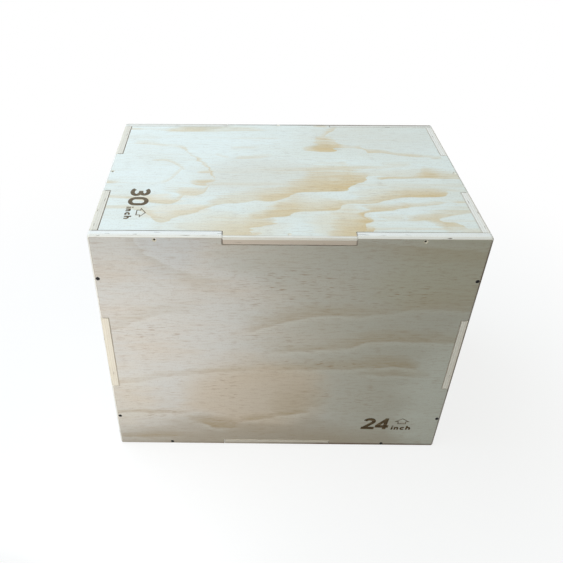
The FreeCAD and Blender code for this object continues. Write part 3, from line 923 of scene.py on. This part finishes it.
def plywood(name, panel, low, high):
    """A solid sheet of plywood: figured veneer on its faces, and plies wherever it is cut."""
    graph = Graph(name)
    veneer = panel.veneer
    along = graph.place[panel.along] - low[panel.along]
    across = graph.place[panel.across] - low[panel.across]
    through = graph.place[panel.through]
    depth = through - low[panel.through] if panel.outer < 0 else high[panel.through] - through
    share_along = along / (high[panel.along] - low[panel.along])
    share_across = across / (high[panel.across] - low[panel.across])

    def noise(layer):
        return graph.layer(layer, along, across, depth)

    # Veneer: the growth rings wander across the grain, and break into teeth along it
    streak, teeth, dash, fibre = [noise(layer) for layer in (STREAKS, TEETH, DASHES, FIBRES)]
    waved = share_across + noise(WAVES) * WAVES.strength
    feather = 1 + streak * STREAK_FADE
    tones = [
        ring_tones(graph, ring, share_along, waved, teeth, feather, veneer.edge) for ring in panel.figure
    ]
    figure, rims = [graph.largest(values) for values in zip(*tones)]
    tan = figure * graph.math("ADD", RING_TAN + streak * STREAK_TAN, dash * veneer.broken, clamp=True)
    clouds = graph.shows(CLOUDS, noise(CLOUDS) + streak * STREAK_CLOUDS)
    pale = graph.mix(clouds, veneer.early, veneer.cloud)
    drift = noise(DRIFTS) * DRIFTS.strength
    for area in panel.areas:
        share = inside(graph, share_along + drift, share_across + drift, *area[:4])
        pale = graph.mix(share * area.strength, pale, area.colour)
    pale = graph.mix(rims * RIM_STRENGTH, pale, RIM_PALE)
    face = graph.mix(tan, pale, veneer.late)
    face = graph.mix(graph.shows(DASHES, dash) * veneer.flecks, face, FLECK)
    crowds = [inside(graph, share_along, share_across, *crowd) for crowd in panel.crowds]
    crowded = graph.largest([graph.shows(CROWDS, noise(CROWDS))] + crowds)
    face = graph.mix(graph.shows(FLECKS, noise(FLECKS)) * crowded * veneer.flecks, face, FLECK)
    face = graph.mix(graph.shows(FIBRES, fibre), face, veneer.late)
    face = graph.mix(graph.shows(PORES, noise(PORES)), face, FLECK)

    # Plies: grain along and across by turns, with a brown glue line between them
    layer = (depth - FACE_VENEER - FACE_GLUE) / PLY
    crossed = graph.math("MODULO", graph.math("FLOOR", layer), 2.0)
    to_glue = graph.math("PINGPONG", layer, 0.5) * PLY
    ply = graph.mix(graph.step(depth, *PLY_TURN), panel.outer_ply, panel.inner_ply)
    ply = graph.mix(crossed * CROSS_TINT, ply, CROSS_PLY)
    ply = graph.mix(graph.shows(LONG_GRAIN, noise(LONG_GRAIN)), ply, CROSS_PLY)
    ply = graph.mix(graph.shows(END_GRAIN, noise(END_GRAIN)) * crossed, ply, GLUE)
    glue = LEAST_GLUE + graph.shows(GLUE_BREAKS, noise(GLUE_BREAKS))
    ply = graph.mix(graph.step(to_glue, GLUE_LINE, 0.0) * glue, ply, GLUE)
    ply = graph.mix(graph.shows(PLY_GAPS, noise(PLY_GAPS)), ply, GAP_DARK)
    face_glue = graph.step(depth, FACE_VENEER + FACE_GLUE, FACE_VENEER + FACE_GLUE / 2)
    ply = graph.mix(face_glue, ply, FACE_GLUE_BROWN)
    cut = graph.step(depth, FACE_VENEER, FACE_VENEER + VENEER_EDGE)
    inner_face = SHEET_THICKNESS - FACE_VENEER
    cut = cut * graph.step(depth, inner_face, inner_face - VENEER_EDGE)
    colour = graph.mix(cut, face, ply)

    # Seams darken with painted shade and with scorch and dirt; rims with painted shade, and a dark line
    # along the back
    seam_shade_and_dirt, rim_darkening = seam_and_rim_darkening(graph)
    seam_shade_and_dirt = graph.scale(noise(SEAM_PATCHES), *PATCHY, *SEAM_SHADE_AND_DIRT) * seam_shade_and_dirt
    colour = graph.mix(seam(graph) * seam_shade_and_dirt, colour, SHADE_AND_DIRT_BROWN)
    colour = graph.mix(rim_darkening, colour, SHADE_AND_DIRT_BROWN)

    graph.relief(fibre * FIBRE_RELIEF + streak * STREAK_RELIEF, GRAIN_HEIGHT)
    return graph.finish(
        Base_Color=colour,
        Roughness=0.62 + fibre * 0.3,
        Specular_IOR_Level=0.3,
    )


def dress(node, material):
    """Gives a CAD node one material."""
    mesh = frame["nodes"][node].data
    mesh.materials.clear()
    mesh.materials.append(material)


def shown(name, mesh, material):
    """Adds a new piece of the box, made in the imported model's frame."""
    mesh.materials.append(material)
    piece = bpy.data.objects.new(name, mesh)
    bpy.context.scene.collection.objects.link(piece)
    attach(piece, BODY)
    return piece


def screw_heads(node):
    """Where each screw of a group enters the box: the point on its face, and the way out of it."""
    groups = []
    for vertex in frame["nodes"][node].data.vertices:
        near = [group for group in groups if (vertex.co - group[0]).length < SCREW_REACH]
        if near:
            near[0].append(vertex.co)
        else:
            groups.append([vertex.co])
    for group in groups:
        low, high = Vector(map(min, *group)), Vector(map(max, *group))
        axis = max(range(3), key=lambda index: high[index] - low[index])
        sign = 1 if HIGH[axis] - high[axis] < low[axis] - LOW[axis] else -1
        place = (low + high) / 2
        place[axis] = HIGH[axis] if sign > 0 else LOW[axis]
        out = Vector((0, 0, 0))
        out[axis] = sign
        yield place, out


def turned(mesh, profile, place, out):
    """Adds a solid to a mesh: a profile of (radius, height) pairs in millimetres, turned about out."""
    turn = out.to_track_quat("Z", "Y").to_matrix().to_4x4()
    matrix = Matrix.Translation(place) @ turn
    rings = []
    for radius_mm, height_mm in profile:
        radius, height = radius_mm * MM, height_mm * MM
        corners = [2 * math.pi * step / FILLER_SEGMENTS for step in range(FILLER_SEGMENTS if radius else 1)]
        rings.append([
            mesh.verts.new(matrix @ Vector((radius * math.cos(angle), radius * math.sin(angle), height)))
            for angle in corners
        ])
    for inner, outer in zip(rings, rings[1:] + rings[:1]):
        for step in range(FILLER_SEGMENTS):
            after = (step + 1) % FILLER_SEGMENTS
            loop = [ring[index % len(ring)] for ring, index in
                    ((inner, step), (inner, after), (outer, after), (outer, step))]
            corners = list(dict.fromkeys(loop))
            if len(corners) > 2:
                mesh.faces.new(corners)


def putty():
    """Wood filler: pale, a little chalky, with darker flour in it."""
    graph = Graph("putty")
    flour = graph.shows(FLOUR, graph.layer(FLOUR, *graph.place))
    graph.relief(graph.layer(PITS, *graph.place), PIT_HEIGHT)
    return graph.finish(
        Base_Color=graph.mix(flour, PUTTY, PUTTY_DARK),
        Roughness=0.8 + flour * 0.1,
        Specular_IOR_Level=0.2,
    )


def fillers():
    """Wood filler over the top panel's screws, and round those that enter from the sides."""
    mesh = bmesh.new()
    for node in frame["nodes"]:
        if node.endswith("_top_screws"):
            for place, out in screw_heads(node):
                open_filler = not out.z or node == "left_end_top_screws"
                turned(mesh, COLLAR_MM if open_filler else PLUG_MM, place, out)
    bmesh.ops.recalc_face_normals(mesh, faces=mesh.faces)
    made = bpy.data.meshes.new("screw_fillers")
    mesh.to_mesh(made)
    mesh.free()
    shown("screw_fillers", made, putty())


def ribbon(mesh, line, width):
    """Adds a flat solid along a line, from z = -1 to 1. A line that ends where it starts is a loop."""
    loop = line[0] == line[-1]
    points = [Vector(point) for point in (line[1:] if loop else line)]
    sections = []
    for index, point in enumerate(points):
        ways = []
        if loop or index > 0:
            ways.append((point - points[index - 1]).normalized())
        if loop or index < len(points) - 1:
            ways.append((points[(index + 1) % len(points)] - point).normalized())
        sides = [Vector((-way.y, way.x)) for way in ways]
        mitre = (sides[0] + sides[-1]).normalized()
        reach = mitre * (width / 2 / max(mitre.dot(sides[0]), LEAST_MITRE))
        corners = ((reach, 1), (reach, -1), (-reach, -1), (-reach, 1))
        sections.append([mesh.verts.new((*(point + off), z)) for off, z in corners])
    joined = list(zip(sections, sections[1:]))
    if loop:
        joined.append((sections[-1], sections[0]))
    else:
        mesh.faces.new(sections[0])
        mesh.faces.new(sections[-1])
    for first, second in joined:
        for corner in range(4):
            after = (corner + 1) % 4
            mesh.faces.new([first[corner], first[after], second[after], second[corner]])


def height_mark(name, words, corner, right, up, material):
    """A height burnt into a face, with a number, its unit and an arrow."""
    mesh = bmesh.new()
    for word in words:
        room = 0
        for sign in word.signs:
            width, lines = SIGNS[sign]
            for layer, line in enumerate(lines):
                first = len(mesh.verts)
                ribbon(mesh, line, word.stroke)
                mesh.verts.ensure_lookup_table()
                for vertex in mesh.verts[first:]:
                    vertex.co.x += word.right + room + vertex.co.y * word.slant
                    vertex.co.y += word.up
                    vertex.co.z *= MARK_PROUD - layer * STROKE_STEP
            room += width
    out = right.cross(up)
    for vertex in mesh.verts:
        across, rise, side = vertex.co
        vertex.co = corner + right * across * MM + up * rise * MM + out * side
    bmesh.ops.recalc_face_normals(mesh, faces=mesh.faces)
    made = bpy.data.meshes.new(name)
    mesh.to_mesh(made)
    mesh.free()
    shown(name, made, material)


def burnt_wood(name, brown, worn):
    """Brown laser burn, thinner on the harder streaks of the grain."""
    graph = Graph(name)
    streak, patch = [graph.layer(layer, *graph.place) for layer in (BURN_STREAKS, BURN_PATCHES)]
    graph.relief(streak, BURN_HEIGHT)
    return graph.finish(
        Base_Color=graph.mix(graph.step(streak + patch, *BURN_WORN), brown, worn),
        Roughness=0.75 + streak * 0.2,
        Specular_IOR_Level=0.2,
    )


def screw_black():
    """Black phosphated steel, rubbed bare in places."""
    graph = Graph("screw_black")
    wear = graph.shows(SCREW_RUBS, graph.layer(SCREW_RUBS, *graph.place))
    graph.relief(graph.layer(SCREW_GRIT, *graph.place), GRIT_HEIGHT)
    return graph.finish(
        Base_Color=graph.mix(wear, SCREW_BLACK, SCREW_WEAR),
        Roughness=0.5 + wear * 0.15,
        Metallic=0.4,
    )


def camera():
    """The photograph's camera: its picture was trimmed, so the lens is shifted sideways."""
    data = bpy.data.cameras.new("camera")
    data.sensor_width = SENSOR_WIDTH
    data.lens = FOCAL_PIXELS / IMAGE_SIZE * SENSOR_WIDTH
    data.shift_x = (IMAGE_SIZE / 2 - PICTURE_CENTRE_X) / IMAGE_SIZE
    made = bpy.data.objects.new("camera", data)
    made.location = CAMERA_PLACE
    made.rotation_euler = Euler((math.radians(90 + CAMERA_PITCH_DEG), 0, math.radians(CAMERA_TURN_DEG)))
    bpy.context.scene.collection.objects.link(made)
    bpy.context.scene.camera = made


def lamp(name, settings):
    """A soft square lamp."""
    data = bpy.data.lights.new(name, "AREA")
    data.size = settings.size
    data.energy = settings.power
    data.color = settings.colour
    made = bpy.data.objects.new(name, data)
    made.location = settings.place
    aim = Vector(settings.aim) - made.location
    made.rotation_euler = aim.to_track_quat("-Z", "Y").to_euler()
    made.visible_camera = False
    bpy.context.scene.collection.objects.link(made)


def background_rays(tree):
    """1 for the rays that show the background: the camera's, and those through gloss or glass."""
    path = tree.nodes.new("ShaderNodeLightPath")
    seen = path.outputs["Is Camera Ray"]
    for kind in ("Is Glossy Ray", "Is Transmission Ray"):
        either = tree.nodes.new("ShaderNodeMath")
        either.operation = "MAXIMUM"
        tree.links.new(seen, either.inputs[0])
        tree.links.new(path.outputs[kind], either.inputs[1])
        seen = either.outputs[0]
    return seen


def world():
    """White behind the object, and a soft light on it."""
    made = bpy.data.worlds.new("studio")
    bpy.context.scene.world = made
    made.use_nodes = True
    tree = made.node_tree
    parts = tree.nodes.new("ShaderNodeSeparateXYZ")
    tree.links.new(tree.nodes.new("ShaderNodeTexCoord").outputs["Generated"], parts.inputs[0])
    side = tree.nodes.new("ShaderNodeMapRange")
    limits = {"From Min": -1, "From Max": 1, "To Min": AMBIENT_LEFT, "To Max": AMBIENT_RIGHT}
    for name, value in limits.items():
        side.inputs[name].default_value = value
    tree.links.new(parts.outputs[X], side.inputs["Value"])
    soft = tree.nodes.new("ShaderNodeVectorMath")
    soft.operation = "SCALE"
    soft.inputs[0].default_value = AMBIENT[:3]
    tree.links.new(side.outputs[0], soft.inputs["Scale"])
    colour = tree.nodes.new("ShaderNodeMix")
    colour.data_type = "RGBA"
    tree.links.new(background_rays(tree), colour.inputs[0])
    tree.links.new(soft.outputs[0], colour.inputs[6])
    colour.inputs[7].default_value = WHITE
    tree.links.new(colour.outputs[2], tree.nodes["Background"].inputs["Color"])


def floor():
    """A pale floor that shows white where it is lit, and keeps the box's shadow."""
    mesh = bpy.data.meshes.new("floor")
    grid = bmesh.new()
    bmesh.ops.create_grid(grid, x_segments=1, y_segments=1, size=FLOOR_SIZE / 2)
    grid.to_mesh(mesh)
    grid.free()
    made = bpy.data.objects.new("floor", mesh)
    made.location.z = LOW.z - FLOOR_DROP
    bpy.context.scene.collection.objects.link(made)
    graph = Graph("floor")
    x, y, _ = graph.place
    far = graph.step(graph.math("SQRT", x * x + y * y), *FLOOR_FADE)
    glow = Value(graph, background_rays(graph.tree)) * (FLOOR_GLOW + far * (1 - FLOOR_GLOW))
    grey = (FLOOR_GREY, FLOOR_GREY, FLOOR_GREY, 1)
    mesh.materials.append(
        graph.finish(
            Base_Color=graph.mix(far, grey, (0, 0, 0, 1)),
            Roughness=1.0,
            Specular_IOR_Level=0.0,
            Emission_Color=WHITE,
            Emission_Strength=glow,
        )
    )


camera()
for name, settings in LAMPS.items():
    lamp(name, settings)
world()
floor()
for node, panel in PANELS.items():
    low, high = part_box(node) if node == "inner_brace" else CAD_BOX
    dress(node, plywood(node, panel, low, high))
black = screw_black()
for node in frame["nodes"]:
    if node.endswith("_screws"):
        dress(node, black)
fillers()
height_mark("front_height_mark", FRONT_MARK, FRONT_MARK_CORNER, Vector((1, 0, 0)), Vector((0, 0, 1)),
            burnt_wood("dark_burn", MARK_BROWN, MARK_WORN))
height_mark("top_height_mark", TOP_MARK, TOP_MARK_CORNER, Vector((0, -1, 0)), Vector((1, 0, 0)),
            burnt_wood("pale_burn", MARK_PALE, MARK_PALE_WORN))

bpy.context.scene.view_settings.view_transform = "Standard"
